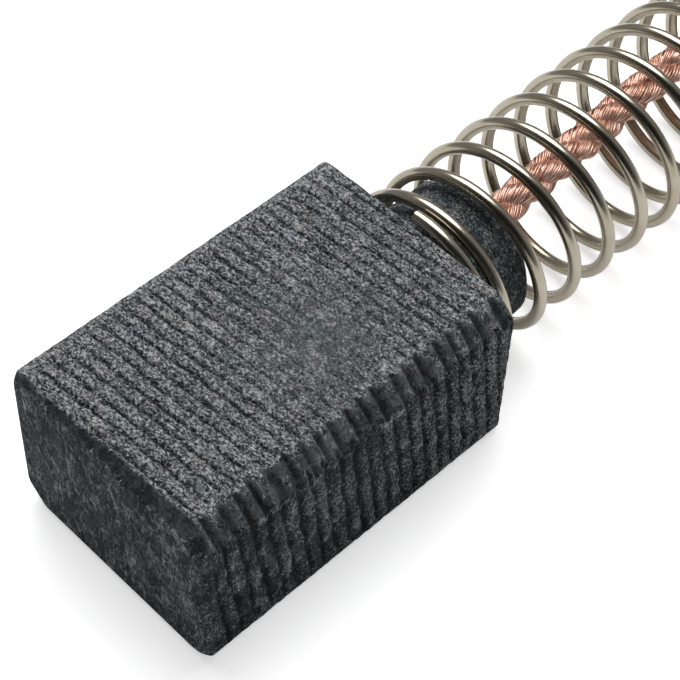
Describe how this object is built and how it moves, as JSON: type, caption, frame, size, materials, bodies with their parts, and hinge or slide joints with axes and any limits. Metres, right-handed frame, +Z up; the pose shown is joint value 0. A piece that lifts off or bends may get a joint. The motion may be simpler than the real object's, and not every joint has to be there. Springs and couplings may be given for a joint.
{
  "type": "carbon brush",
  "caption": "Ridged carbon block with a coil spring over its rear boss, a stranded copper shunt inside the spring and a drawn brass contact cap.",
  "frame": {"origin": "centre of the contact face", "axes": "+X from the contact face along the brush to the cap, +Y across the width, +Z up through the thickness"},
  "size_m": [0.0346, 0.009, 0.0068],
  "materials": {
    "graphite": "rough pressed carbon, dark blue grey",
    "packing": "tamped copper powder, matt",
    "spring_wire": "drawn spring wire, pale straw",
    "copper": "bare copper strands",
    "cap_brass": "drawn sheet, satin",
    "solder": "dull solder"
  },
  "bodies": {
    "brush": {"carbon_block": "graphite", "tamped_packing": "packing", "spring": "spring_wire", "shunt": "copper"},
    "terminal": {"contact_cap": "cap_brass", "solder_joint": "solder"}
  },
  "joints": [
    {"name": "spring_travel", "type": "slide", "parent": "brush", "child": "terminal", "axis": [-1, 0, 0], "range_m": [0, 0.012], "stiffness_N_per_m": 130, "deforming": ["spring", "shunt"]}
  ]
}
